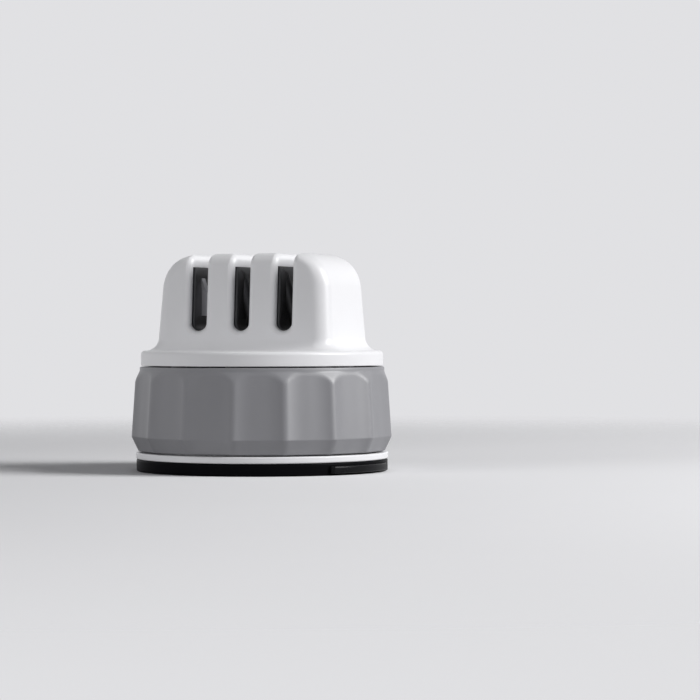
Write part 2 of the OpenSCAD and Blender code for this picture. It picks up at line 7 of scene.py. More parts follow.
import logging
import math
from collections.abc import Callable, Sequence
from dataclasses import dataclass
from enum import Enum

import bmesh
import bpy
from mathutils import Matrix, Vector


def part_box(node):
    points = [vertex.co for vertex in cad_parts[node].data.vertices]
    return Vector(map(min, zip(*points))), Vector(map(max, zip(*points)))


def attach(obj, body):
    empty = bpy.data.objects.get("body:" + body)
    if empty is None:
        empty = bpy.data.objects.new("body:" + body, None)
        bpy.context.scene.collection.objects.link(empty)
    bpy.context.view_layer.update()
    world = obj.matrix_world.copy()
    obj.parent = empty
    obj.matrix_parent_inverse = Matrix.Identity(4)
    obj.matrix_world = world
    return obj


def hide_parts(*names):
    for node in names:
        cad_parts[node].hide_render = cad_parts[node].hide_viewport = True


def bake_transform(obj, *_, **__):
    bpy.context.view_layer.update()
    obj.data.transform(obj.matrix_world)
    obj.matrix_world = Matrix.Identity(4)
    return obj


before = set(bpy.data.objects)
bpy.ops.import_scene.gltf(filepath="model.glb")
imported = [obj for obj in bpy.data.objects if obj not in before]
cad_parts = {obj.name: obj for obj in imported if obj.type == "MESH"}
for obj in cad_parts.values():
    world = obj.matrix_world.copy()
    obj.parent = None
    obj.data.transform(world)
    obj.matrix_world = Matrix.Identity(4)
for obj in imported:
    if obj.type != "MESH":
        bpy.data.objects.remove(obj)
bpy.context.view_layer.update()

LOG = logging.getLogger("sharpener")
MM = 0.001
# Points within NEAR are in one place, a row that was worked out may be off by LOOSE, and points within WELD
# are merged. A cutter reaches past its piece by OVERRUN. An edge is sharp from CREASE up, in degrees.
NEAR = 0.001 * MM
LOOSE = 0.01 * MM
WELD = 0.003 * MM
OVERRUN = 1.0 * MM
CREASE = 32.0
CORNER_FLATS = 6
PILLAR_SIDES = 48
FULL_TURN = 2 * math.pi

Colour = tuple[float, float, float]
PlaceTest = Callable[[Vector], bool]


class Part(Enum):
    """What a selection in edit mode is made of."""

    POINTS = "VERT"
    EDGES = "EDGE"
    FACES = "FACE"


class Cut(Enum):
    """How one solid changes another."""

    TAKE_AWAY = "DIFFERENCE"
    ADD = "UNION"


class Profile(Enum):
    """What a profile is when it is turned: an open line, a closed line or a face."""

    OPEN = "open"
    CLOSED = "closed"
    FILLED = "filled"


@dataclass(frozen=True)
class Corner:
    """Corner of a turned profile.

    Args:
        r: Distance from the turning axis.
        z: Level.
        rounding: How far the rounding reaches from the corner, zero for a sharp one.
    """

    r: float
    z: float
    rounding: float = 0.0


def put_down() -> None:
    """Leaves edit mode and deselects everything."""
    if bpy.context.mode != "OBJECT":
        bpy.ops.object.mode_set(mode="OBJECT")
    bpy.ops.object.select_all(action="DESELECT")


class Bench:
    """One mesh piece on the bench, shaped by operators with the selection made in code."""

    def __init__(self, name: str) -> None:
        """Takes up the object that was added last.

        Args:
            name: Name that the piece gets.
        """
        self.piece: bpy.types.Object = bpy.context.active_object
        self.piece.name = name
        self.piece.data.name = name

    def alone(self) -> None:
        """Leaves this piece as the only one that is selected, in object mode."""
        put_down()
        self.piece.select_set(True)
        bpy.context.view_layer.objects.active = self.piece

    def apply(self) -> None:
        """Applies the piece's place, turn and scale to its mesh."""
        self.alone()
        bpy.ops.object.transform_apply(location=True, rotation=True, scale=True)

    def open(self) -> None:
        """Opens the piece in edit mode with its transforms applied."""
        self.apply()
        bpy.ops.object.mode_set(mode="EDIT")

    def pick(self, test: PlaceTest, part: Part = Part.POINTS) -> None:
        """Selects what has all its points where a test wants them.

        Args:
            test: Says whether a point is wanted.
            part: Kind of element that is selected.
        """
        bpy.ops.mesh.select_mode(type=part.value)
        bpy.ops.mesh.select_all(action="DESELECT")
        mesh = bmesh.from_edit_mesh(self.piece.data)
        wanted = {v.index for v in mesh.verts if test(v.co)}
        for item in {Part.POINTS: mesh.verts, Part.EDGES: mesh.edges, Part.FACES: mesh.faces}[part]:
            points = [item] if part is Part.POINTS else item.verts
            if all(v.index in wanted for v in points):
                item.select_set(True)
        mesh.select_flush_mode()
        bmesh.update_edit_mesh(self.piece.data)

    def shift(self, x: float = 0.0, y: float = 0.0, z: float = 0.0) -> None:
        """Moves the selection."""
        bpy.ops.transform.translate(value=(x, y, z))

    def scale(self, factor: float) -> None:
        """Draws the selection in towards the Z axis, or out from it."""
        bpy.ops.transform.resize(value=(factor, factor, 1.0), center_override=(0.0, 0.0, 0.0))

    def extrude(self, x: float = 0.0, y: float = 0.0, z: float = 0.0) -> None:
        """Extrudes the selected faces, and leaves the new ones selected."""
        bpy.ops.mesh.extrude_region_move(TRANSFORM_OT_translate={"value": (x, y, z)})

    def fill(self) -> None:
        """Fills the outline that the piece's edges make."""
        bpy.ops.mesh.select_all(action="SELECT")
        bpy.ops.mesh.edge_face_add()

    def spin(self, angle: float, steps: int, copies: bool = False) -> None:
        """Spins the selection clockwise about Z, as one skin or as separate copies."""
        axis = (0.0, 0.0, 1.0)
        bpy.ops.mesh.spin(steps=steps, dupli=copies, angle=angle, center=(0.0, 0.0, 0.0), axis=axis)

    def bevel(self, width: float, segments: int, points: bool = False) -> None:
        """Rounds the selected edges or points.

        Args:
            width: How far the rounding reaches.
            segments: Number of flats that make it.
            points: Whether points are rounded instead of edges.
        """
        bpy.ops.mesh.bevel(
            offset_type="OFFSET",
            offset=width,
            segments=segments,
            profile=0.5,
            affect="VERTICES" if points else "EDGES",
            clamp_overlap=False,
            miter_outer="SHARP",
        )

    def tidy(self) -> None:
        """Merges doubled points and turns all faces outwards."""
        bpy.ops.mesh.select_all(action="SELECT")
        bpy.ops.mesh.remove_doubles(threshold=WELD)
        bpy.ops.mesh.normals_make_consistent(inside=False)

    def combine(self, other: "Bench", cut: Cut) -> None:
        """Applies another solid to this one and uses it up.

        Args:
            other: The solid that cuts or is added.
            cut: How it changes this piece.
        """
        self.alone()
        modifier = self.piece.modifiers.new(cut.name, "BOOLEAN")
        modifier.operation = cut.value
        modifier.solver = "MANIFOLD"
        modifier.object = other.piece
        bpy.ops.object.modifier_apply(modifier=modifier.name)
        bpy.data.objects.remove(other.piece)

    def take_in(self, other: "Bench") -> None:
        """Joins another piece's mesh into this one.

        Args:
            other: The other piece, which is used up.
        """
        self.alone()
        other.piece.select_set(True)
        bpy.ops.object.join()

    def copy(self, name: str, x: float = 0.0) -> "Bench":
        """Copies the piece, with its own mesh, to a place along X.

        Args:
            name: Name of the copy.
            x: How far the copy stands from the original.

        Returns:
            The copy.
        """
        self.alone()
        bpy.ops.object.duplicate(linked=False)
        twin = Bench(name)
        bpy.ops.transform.translate(value=(x, 0.0, 0.0))
        twin.apply()
        return twin

    def smooth(self, crease: float = CREASE) -> None:
        """Smooths the shading and keeps flat faces flat.

        Args:
            crease: Angle in degrees above which an edge stays sharp.
        """
        self.apply()
        bpy.ops.object.shade_smooth_by_angle(angle=math.radians(crease))
        modifier = self.piece.modifiers.new("flat_faces_first", "WEIGHTED_NORMAL")
        modifier.keep_sharp = True
        bpy.ops.object.modifier_apply(modifier=modifier.name)


def drawn(name: str, places: Sequence[Vector]) -> Bench:
    """Draws a chain of edges point by point.

    Args:
        name: Name of the piece.
        places: The points in order.

    Returns:
        The piece, open in edit mode.
    """
    put_down()
    bpy.ops.mesh.primitive_plane_add(size=MM, location=places[0])
    bench = Bench(name)
    bench.open()
    bpy.ops.mesh.select_mode(type="VERT")
    bpy.ops.mesh.select_all(action="SELECT")
    bpy.ops.mesh.merge(type="CENTER")
    for here, there in zip(places, places[1:]):
        bpy.ops.mesh.extrude_vertices_move(TRANSFORM_OT_translate={"value": there - here})
    return bench


def turned(
    name: str,
    corners: Sequence[Corner],
    profile: Profile = Profile.CLOSED,
    steps: int = 240,
    start: float = 0.0,
    sweep: float = FULL_TURN,
) -> Bench:
    """Draws a profile point by point, rounds its corners and spins it clockwise about Z.

    Args:
        name: Name of the piece.
        corners: The profile's corners in order.
        profile: Whether it is open, closed or filled, which gives a sector its end faces.
        steps: Number of columns round the piece.
        start: Angle of the first column, in radians.
        sweep: Angle of the spin, in radians.

    Returns:
        The piece, open in edit mode.
    """
    out = Vector((math.cos(start), math.sin(start), 0.0))
    places = [out * c.r + Vector((0.0, 0.0, c.z)) for c in corners]
    bench = drawn(name, places)
    if profile is Profile.CLOSED:
        bench.pick(lambda v: min((v - places[0]).length, (v - places[-1]).length) < NEAR)
        bpy.ops.mesh.edge_face_add()
    if profile is Profile.FILLED:
        bench.fill()
    for corner, place in zip(corners, places):
        if corner.rounding:
            bench.pick(lambda v: (v - place).length < NEAR)
            bench.bevel(corner.rounding, CORNER_FLATS, points=True)
    bpy.ops.mesh.select_all(action="SELECT")
    bench.spin(sweep, steps)
    bench.tidy()
    return bench


def pillar(name: str, radius: float, low: float, high: float, x: float = 0.0, y: float = 0.0) -> Bench:
    """Adds an upright cylinder.

    Args:
        name: Name of the piece.
        radius: Its radius.
        low: Level of its lower end.
        high: Level of its upper end.
        x: Place of its axis along X.
        y: Place of its axis along Y.

    Returns:
        The cylinder.
    """
    put_down()
    place, depth = (x, y, (low + high) / 2), high - low
    bpy.ops.mesh.primitive_cylinder_add(vertices=PILLAR_SIDES, radius=radius, depth=depth, location=place)
    return Bench(name)


def diagonal(radius: float) -> list[tuple[float, float]]:
    """Places of four screws on a circle, on its diagonals."""
    reach = radius * math.sqrt(0.5)
    return [(x, y) for x in (-reach, reach) for y in (-reach, reach)]


def brick(name: str, low: Vector, high: Vector) -> Bench:
    """Adds a block between two corners.

    Args:
        name: Name of the piece.
        low: Its left, front, lower corner.
        high: Its right, rear, upper corner.

    Returns:
        The block.
    """
    put_down()
    bpy.ops.mesh.primitive_cube_add(size=1.0, location=(low + high) / 2)
    bench = Bench(name)
    bench.piece.scale = high - low
    bench.apply()
    return bench


class Wire:
    """Output of a shader node, with the arithmetic that the finishes use."""

    def __init__(self, graph: "Graph", socket: bpy.types.NodeSocket) -> None:
        """Keeps the socket and the graph that it belongs to."""
        self.graph = graph
        self.socket = socket

    def __add__(self, other: "Wire | float") -> "Wire":
        """Sum of two values."""
        return self.graph.maths("ADD", self, other)

    def __sub__(self, other: "Wire | float") -> "Wire":
        """Difference of two values."""
        return self.graph.maths("SUBTRACT", self, other)

    def __mul__(self, other: "Wire | float") -> "Wire":
        """Product of two values."""
        return self.graph.maths("MULTIPLY", self, other)

    def __rsub__(self, other: float) -> "Wire":
        """A number less this value."""
        return self.graph.maths("SUBTRACT", other, self)

    __radd__ = __add__
    __rmul__ = __mul__


Feed = Wire | float | Sequence[float]
Feeds = dict[str | int, Feed]


class Graph:
    """Node tree of one material or of the world."""

    def __init__(self, owner: bpy.types.Material | bpy.types.World) -> None:
        """Starts an empty tree.

        Args:
            owner: The material or the world that the tree belongs to.
        """
        self.owner = owner
        owner.use_nodes = True
        self.tree = owner.node_tree
        self.tree.nodes.clear()

    def node(self, kind: str, settings: dict[str, object], feeds: Feeds) -> bpy.types.Node:
        """Adds a node.

        Args:
            kind: Blender's type of the node, without its ShaderNode prefix.
            settings: Properties that are set first.
            feeds: Values or links of the node's inputs. A colour is given without its alpha.

        Returns:
            The node.
        """
        made = self.tree.nodes.new("ShaderNode" + kind)
        for key, value in settings.items():
            setattr(made, key, value)
        for key, value in feeds.items():
            socket = made.inputs[key]
            if isinstance(value, Wire):
                self.tree.links.new(value.socket, socket)
            else:
                socket.default_value = (*value, 1.0) if socket.type == "RGBA" else value
        return made

    def out(self, kind: str, settings: dict[str, object], feeds: Feeds, output: str | int = 0) -> Wire:
        """Adds a node and returns one of its outputs."""
        return Wire(self, self.node(kind, settings, feeds).outputs[output])

    def maths(self, operation: str, a: Feed, b: Feed) -> Wire:
        """Arithmetic of two values."""
        return self.out("Math", {"operation": operation}, {0: a, 1: b})

    def blend(self, share: Feed, a: Feed, b: Feed) -> Wire:
        """Mix of two colours, whose sockets follow those for values and vectors."""
        return self.out("Mix", {"data_type": "RGBA"}, {0: share, 6: a, 7: b}, 2)

    def seen(self) -> Wire:
        """Tells the rays that show a surface from those that carry its light.

        Returns:
            One for camera, glossy and transmission rays, else zero.
        """
        camera, glossy, through = (
            self.out("LightPath", {}, {}, f"Is {kind} Ray") for kind in ("Camera", "Glossy", "Transmission")
        )
        return self.maths("MAXIMUM", self.maths("MAXIMUM", camera, glossy), through)

    def place(self, stretch: Sequence[float] = (1.0, 1.0, 1.0)) -> Wire:
        """Place on the piece, stretched along its axes."""
        here = self.out("TexCoord", {}, {}, "Object")
        return self.out("Mapping", {}, {"Vector": here, "Scale": stretch})

    def noise(self, place: Wire, grain: float, detail: float = 3.0) -> Wire:
        """Soft noise from 0 to 1.

        Args:
            place: Where it is read.
            grain: Size of its spots, in metres.
            detail: Number of finer layers.

        Returns:
            The noise.
        """
        return self.out("TexNoise", {}, {"Vector": place, "Scale": 1.0 / grain, "Detail": detail}, "Fac")

    def bump(self, height: Wire, relief: float) -> Wire:
        """Normal that a height from 0 to 1 gives, with the depth of the relief in metres."""
        return self.out("Bump", {}, {"Height": height, "Distance": relief, "Strength": 1.0})


@dataclass(frozen=True)
class Finish:
    """Finish of a piece, whose surface each kind of finish works out.

    Args:
        name: Name of the material.
        colour: Its colour.
        roughness: Middle of its roughness.
    """

    name: str
    colour: Colour
    roughness: float

    def feeds(self, graph: Graph) -> Feeds:
        """Values and links of the surface's inputs."""
        raise NotImplementedError

    def material(self) -> bpy.types.Material:
        """Makes the material.

        Returns:
            The material, with one principled surface.
        """
        graph = Graph(bpy.data.materials.new(self.name))
        surface = graph.out("BsdfPrincipled", {}, self.feeds(graph))
        graph.node("OutputMaterial", {}, {"Surface": surface})
        return graph.owner

    def tone(self, share: float) -> Colour:
        """The colour, darker or lighter by a share."""
        return tuple(min(1.0, c * share) for c in self.colour)

    def hazy(self, first: Wire, second: Wire, haze: float) -> Wire:
        """The roughness, which two noises vary by a share."""
        return self.roughness * (1.0 - haze) + (first + second) * (self.roughness * haze)


@dataclass(frozen=True)
class Moulded(Finish):
    """Moulded plastic or rubber, with the fine skin that its mould leaves.

    Args:
        grain: Size of the mould's texture.
        relief: Depth of that texture.
        mottle: Share by which the colour varies over the piece.
        haze: Share by which the roughness varies.
        gloss: Level of its reflection, a half for plain plastic.
        spots: Size of the spots in its colour.
    """

    grain: float
    relief: float
    mottle: float
    haze: float
    gloss: float = 0.5
    spots: float = 9.0 * MM

    def feeds(self, graph: Graph) -> Feeds:
        """Works out the moulded surface.

        Args:
            graph: Graph of the material.

        Returns:
            Values and links of the surface's inputs.
        """
        place = graph.place()
        cloud = graph.noise(place, self.spots)
        skin = graph.noise(place, self.grain, detail=2.0)
        return {
            "Base Color": graph.blend(cloud, self.tone(1.0 - self.mottle), self.tone(1.0 + self.mottle)),
            "Roughness": self.hazy(cloud, skin, self.haze),
            "Specular IOR Level": self.gloss,
            "Normal": graph.bump(skin, self.relief),
        }


@dataclass(frozen=True)
class Ground(Finish):
    """Metal with the fine parallel marks of turning or grinding.

    Args:
        marks: Distance between two marks.
        stretch: How the marks run, as the inverse of their length along each axis.
        relief: Depth of the marks.
        spots: Size of the spots in its roughness.
        haze: Share by which the roughness varies.
        painted_groove_shade: How dark the colour is painted where the marks are low, as a share: painted shade in
            their hollows.
    """

    marks: float
    stretch: tuple[float, float, float]
    relief: float
    spots: float = 4.0 * MM
    haze: float = 0.3
    painted_groove_shade: float = 0.82

    def feeds(self, graph: Graph) -> Feeds:
        """Works out the ground surface.

        Args:
            graph: Graph of the material.

        Returns:
            Values and links of the surface's inputs.
        """
        lines = graph.noise(graph.place(self.stretch), self.marks, detail=4.0)
        cloud = graph.noise(graph.place(), self.spots)
        return {
            # Base colour darker where the marks are low: painted shade in the hollows of the marks.
            "Base Color": graph.blend(lines, self.tone(self.painted_groove_shade), self.colour),
            "Metallic": 1.0,
            "Roughness": self.hazy(lines, cloud, self.haze),
            "Normal": graph.bump(lines, self.relief),
        }


@dataclass(frozen=True)
class Grit(Finish):
    """Rod surface made of fine grains, bonded diamond on steel or fired ceramic, in the grains' colour.

    Args:
        bond: Colour between the grains.
        metallic: How metallic it looks.
        grain: Size of a grain.
        relief: How far the grains stand out.
        spots: Size of the spots where the grains lie closer.
        even: Share of the grains' colour that the spots leave alone.
        dull: How much rougher it is between the grains.
    """

    bond: Colour
    metallic: float
    grain: float
    relief: float
    spots: float = 3.0 * MM
    even: float = 0.6
    dull: float = 0.25

    def feeds(self, graph: Graph) -> Feeds:
        """Works out the gritty surface.

        Args:
            graph: Graph of the material.

        Returns:
            Values and links of the surface's inputs.
        """
        place = graph.place()
        inputs = {"Vector": place, "Scale": 1.0 / self.grain}
        cells = graph.out("TexVoronoi", {"feature": "F1"}, inputs, "Distance")
        cloud = graph.noise(place, self.spots)
        top = 1.0 - cells
        share = top * (self.even + (1.0 - self.even) * cloud)
        return {
            "Base Color": graph.blend(share, self.bond, self.colour),
            "Metallic": self.metallic,
            "Roughness": self.roughness + self.dull * cells,
            "Normal": graph.bump(top, self.relief),
        }


@dataclass(frozen=True)
class Paper(Finish):
    """Pale floor that passes into the pale world away from the sharpener.

    Args:
        bounce: Colour with which it lights the sharpener from below.
        solid: Distance from the middle up to which the floor is solid.
        gone: Distance at which nothing of it is left.
        spots: Size of the spots in its colour.
        spot_tone: How dark the spots are, as a share.
    """

    bounce: Colour
    solid: float
    gone: float
    spots: float = 60.0 * MM
    spot_tone: float = 0.985

    def feeds(self, graph: Graph) -> Feeds:
        """Works out the floor's surface.

        Args:
            graph: Graph of the material.

        Returns:
            Values and links of the surface's inputs.
        """
        place = graph.place()
        cloud = graph.noise(place, self.spots)
        away = graph.out("VectorMath", {"operation": "LENGTH"}, {0: place}, "Value")
        fade = {"Value": away, "From Min": self.solid, "From Max": self.gone, "To Min": 1.0, "To Max": 0.0}
        paper = graph.blend(cloud, self.tone(self.spot_tone), self.colour)
        return {
            "Base Color": graph.blend(graph.seen(), self.bounce, paper),
            "Roughness": self.roughness,
            "Alpha": graph.out("MapRange", {"interpolation_type": "SMOOTHSTEP"}, fade),
        }


SHELL_WHITE = Moulded("shell_white", (0.82, 0.82, 0.84), 0.34, 0.35 * MM, 0.004 * MM, 0.012, 0.18)
RIM_WHITE = Moulded("rim_white", (0.84, 0.84, 0.86), 0.32, 0.35 * MM, 0.004 * MM, 0.012, 0.18)
GRIP_GREY = Moulded("grip_grey", (0.225, 0.225, 0.24), 0.45, 0.14 * MM, 0.012 * MM, 0.04, 0.2, 0.9)
INSERT_DARK = Moulded("insert_dark", (0.10, 0.10, 0.105), 0.38, 0.2 * MM, 0.008 * MM, 0.08, 0.25)
CUP_BLACK = Moulded("cup_black", (0.004, 0.004, 0.005), 0.35, 0.5 * MM, 0.006 * MM, 0.1, 0.25, 0.02)
TAB_BLACK = Moulded("tab_black", (0.004, 0.004, 0.005), 0.2, 0.5 * MM, 0.004 * MM, 0.1, 0.25, 0.12)
WASHER_IVORY = Moulded("washer_ivory", (0.78, 0.76, 0.70), 0.3, 0.3 * MM, 0.003 * MM, 0.02, 0.15)
STEEL = Ground("turned_steel", (0.62, 0.62, 0.64), 0.28, 0.05 * MM, (1.0, 1.0, 24.0), 0.002 * MM)
CARBIDE = Ground("ground_carbide", (0.60, 0.60, 0.63), 0.42, 0.06 * MM, (1.0, 24.0, 8.0), 0.002 * MM)
DIAMOND = Grit("diamond_grit", (0.16, 0.16, 0.17), 0.4, (0.05, 0.05, 0.055), 0.6, 0.09 * MM, 0.03 * MM)
CERAMIC = Grit("fired_ceramic", (0.09, 0.09, 0.095), 0.3, (0.055, 0.055, 0.06), 0.0, 0.12 * MM, 0.006 * MM)
PAPER = Paper("backdrop_paper", (0.94, 0.94, 0.96), 0.9, (0.50, 0.50, 0.51), 0.13, 0.45)


def dress(piece: bpy.types.Object, material: bpy.types.Material) -> None:
    """Gives a piece one material, whatever it had before."""
    piece.data.materials.clear()
    piece.data.materials.append(material)


def hand_over(bench: Bench, body: str, node: str, finish: Finish, crease: float = CREASE) -> None:
    """Smooths a finished piece, dresses it and fixes it to the frame.

    Args:
        bench: The piece.
        body: Body that it rides on.
        node: Node of the frame that it stands for.
        finish: Its finish.
        crease: Angle in degrees above which an edge stays sharp.
    """
    bench.smooth(crease)
    dress(bench.piece, finish.material())
    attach(bench.piece, body)
    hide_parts(node)
    LOG.info("%s rides on %s, %d faces", bench.piece.name, body, len(bench.piece.data.polygons))


@dataclass
class Levels:
    """Levels that several pieces share, read from the frame."""

    rim: float
    rim_top: float
    grip: float
    grip_top: float
    flange: float
    top: float
    deck_top: float
    insert_top: float
    web_top: float

    @classmethod
    def from_frame(cls) -> "Levels":
        """Reads the levels from the boxes of the frame's nodes.

        Returns:
            The levels.
        """
        deck_step = 0.3 * MM
        deck_thick = 2.0 * MM
        rim_high = 1.6 * MM
        web_thick = 2.0 * MM
        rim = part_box("base_plate")[0].z
        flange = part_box("head_shell")[0].z
        return cls(
            rim=rim,
            rim_top=rim + rim_high,
            grip=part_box("grip_ring")[0].z,
            grip_top=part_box("grip_ring")[1].z,
            flange=flange,
            top=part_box("head_shell")[1].z,
            deck_top=flange + deck_step + deck_thick,
            insert_top=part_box("insert_medium")[1].z,
            web_top=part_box("cam_plate")[0].z + web_thick,
        )


@dataclass
class GripRing:
    """The grey ring that is turned to lock the cup.

    One pitch is turned with many columns, its flute is made by drawing them in towards the axis, and it is
    copied round.
    """

    levels: Levels
    ridge_r: float = 32.0 * MM
    inside_r: float = 28.2 * MM
    lip_r: float = 26.7 * MM
    lip_high: float = 2.0 * MM
    shelf_r: float = 21.0 * MM
    shelf_thick: float = 2.0 * MM
    shelf_edge: float = 0.6 * MM
    boss_ring_r: float = 23.12 * MM
    boss_r: float = 2.4 * MM
    boss_high: float = 4.0 * MM
    boss_roof: float = 0.6 * MM
    pilot_r: float = 1.14 * MM
    flutes: int = 16
    columns: int = 40
    phase: float = math.radians(2.0)
    depth: float = 1.05 * MM
    flute_share: float = 0.85
    flute_power: float = 2.8
    foot_share: float = 0.45
    foot_inset: float = 1.7 * MM
    foot_high: float = 3.5 * MM
    shoulder_inset: float = 0.9 * MM
    crown_inset: float = 2.2 * MM
    bevel_high: float = 2.2 * MM
    crown_high: float = 0.9 * MM
    run_out: float = 0.45 * MM
    soft_below: float = 1.4 * MM
    soft_above: float = 0.3 * MM
    soft_rows: int = 12
    band_widths: tuple[float, ...] = (0.25 * MM, 0.18 * MM, 0.2 * MM, 0.3 * MM)
    band_flats: tuple[int, ...] = (3, 2, 3, 3)
    skin_margin: float = 0.5 * MM
    crease: float = 28.0

    @property
    def high(self) -> float:
        """Height of the ring."""
        return self.levels.grip_top - self.levels.grip

    @property
    def crown(self) -> float:
        """Height at which the bevel ends."""
        return self.high - self.crown_high

    @property
    def shoulder(self) -> float:
        """Height of the shoulder, where the bevel starts on the ridges."""
        return self.crown - self.bevel_high

    def cut(self, share: float) -> float:
        """Depth of a flute, which passes into the round ridge without a crease.

        Args:
            share: Place across the flute, as a share of the half pitch.

        Returns:
            The depth.
        """
        reach, end, power = abs(share), self.flute_share, self.flute_power
        fall = 1.0 / (end**power + power * end ** (power - 1.0) * (1.0 - end) / 2)
        if reach <= end:
            return self.depth * (1.0 - fall * reach**power)
        return self.depth * fall * power * end ** (power - 1.0) * (1.0 - reach) ** 2 / (2 * (1.0 - end))

    def skin(self, height: float, cut: float) -> float:
        """Radius of the skin, whose flutes run out in the bevel without a crease.

        Args:
            height: Height above the ring's lower edge.
            cut: Depth of the flute.

        Returns:
            The radius.
        """
        if height <= self.foot_high:
            climb = height / self.foot_high
            share = self.foot_share + (1.0 - self.foot_share) * climb
            return self.ridge_r - self.foot_inset * (1.0 - climb) - cut * share
        if height > self.crown - NEAR:
            return self.ridge_r - self.crown_inset
        taper = self.shoulder_inset / (self.shoulder - self.foot_high)
        slope = (self.crown_inset - self.shoulder_inset) / self.bevel_high
        wall = self.ridge_r - taper * (height - self.foot_high) - cut
        bevel = self.ridge_r - self.shoulder_inset - slope * (height - self.shoulder)
        mix = min(1.0, max(0.0, 0.5 + (bevel - wall) / (2 * self.run_out)))
        return bevel * (1.0 - mix) + wall * mix - self.run_out * mix * (1.0 - mix)

    def build(self) -> None:
        """Models the ring, dresses it and fixes it to the turning body."""
        levels = self.levels
        shelf = levels.web_top
        shelf_top = shelf + self.shelf_thick
        start = self.shoulder - self.soft_below
        reach = self.crown - self.soft_above - start
        rows = [0.0, self.foot_high]
        rows += [start + reach * step / self.soft_rows for step in range(self.soft_rows + 1)]
        rows += [self.crown, self.high]
        inner = [
            Corner(self.inside_r, levels.grip_top),
            Corner(self.inside_r, shelf_top),
            Corner(self.shelf_r + self.shelf_edge, shelf_top),
            Corner(self.shelf_r, shelf_top - self.shelf_edge),
            Corner(self.shelf_r, shelf),
            Corner(self.inside_r, shelf),
            Corner(self.inside_r, levels.grip + self.lip_high + self.inside_r - self.lip_r),
            Corner(self.lip_r, levels.grip + self.lip_high),
            Corner(self.lip_r, levels.grip),
        ]
        skin = [Corner(self.skin(height, 0.0), levels.grip + height) for height in rows]
        pitch = FULL_TURN / self.flutes
        bench = turned("grip_ring_fluted", skin + inner, Profile.CLOSED, self.columns, self.phase, pitch)
        self.draw_in(bench, rows, pitch)
        bpy.ops.mesh.select_all(action="SELECT")
        bench.spin(FULL_TURN - pitch, self.flutes - 1, copies=True)
        bench.tidy()
        self.soften(bench)
        bench.tidy()
        self.bosses(bench, shelf, shelf_top)
        hand_over(bench, "grip", "grip_ring", GRIP_GREY, self.crease)

    def column_of(self, v: Vector, pitch: float) -> int:
        """Column in which a point lies, counted from the middle of the nearest flute to either side."""
        turn = round((math.atan2(v.y, v.x) - self.phase) / pitch % 1.0 * self.columns)
        return min(turn % self.columns, -turn % self.columns)

    def draw_in(self, bench: Bench, rows: Sequence[float], pitch: float) -> None:
        """Draws the columns of one flute in, row by row.

        Args:
            bench: One pitch of the ring, open in edit mode.
            rows: Heights of the skin's rows.
            pitch: Angle from one flute to the next.
        """
        outside = self.inside_r + self.skin_margin
        for height in rows:
            level = self.levels.grip + height
            radius = self.skin(height, 0.0)
            for column in range(self.columns // 2):
                now = self.skin(height, self.cut(2.0 * column / self.columns))

                def wanted(v: Vector) -> bool:
                    """Whether a point of the skin lies in this row and in this column."""
                    in_row = abs(v.z - level) < LOOSE and math.hypot(v.x, v.y) > outside
                    return in_row and self.column_of(v, pitch) == column

                if now < radius:
                    bench.pick(wanted)
                    bench.scale(now / radius)

    def soften(self, bench: Bench) -> None:
        """Rounds the rows of edges that run round the ring.

        Args:
            bench: The fluted ring, open in edit mode.
        """
        outside = self.inside_r + self.skin_margin
        heights = (0.0, self.foot_high, self.crown, self.high)
        for height, width, segments in zip(heights, self.band_widths, self.band_flats):
            level = self.levels.grip + height

            def at_level(v: Vector) -> bool:
                """Whether a point lies in the row on the ring's outside."""
                return abs(v.z - level) < LOOSE and math.hypot(v.x, v.y) > outside

            bench.pick(at_level, Part.EDGES)
            bench.bevel(width, segments)

    def bosses(self, bench: Bench, shelf: float, shelf_top: float) -> None:
        """Adds the four screw bosses on the shelf, with their holes.

        Args:
            bench: The ring.
            shelf: Level of the shelf's underside.
            shelf_top: Level of its upper face.
        """
        boss_top = shelf_top + self.boss_high
        for x, y in diagonal(self.boss_ring_r):
            bench.combine(pillar("boss", self.boss_r, shelf + OVERRUN, boss_top, x, y), Cut.ADD)
            hole = pillar("pilot", self.pilot_r, shelf - OVERRUN, boss_top - self.boss_roof, x, y)
            bench.combine(hole, Cut.TAKE_AWAY)


def slot_block(name: str, width: float, floor: float, top: float, length: float) -> Bench:
    """Upright block with a round underside, along Y.

    Args:
        name: Name of the block.
        width: Its width.
        floor: Level of its lowest line.
        top: Level of its upper face.
        length: Its length along Y.

    Returns:
        The block.
    """
    radius = width / 2
    arc = 24
    places = [Vector((-radius, -length / 2, top))]
    for step in range(arc + 1):
        turn = math.pi * (1.0 + step / arc)
        height = floor + radius + radius * math.sin(turn)
        places.append(Vector((radius * math.cos(turn), -length / 2, height)))
    places.append(Vector((radius, -length / 2, top)))
    bench = drawn(name, places)
    bench.fill()
    bench.extrude(y=length)
    bench.tidy()
    return bench


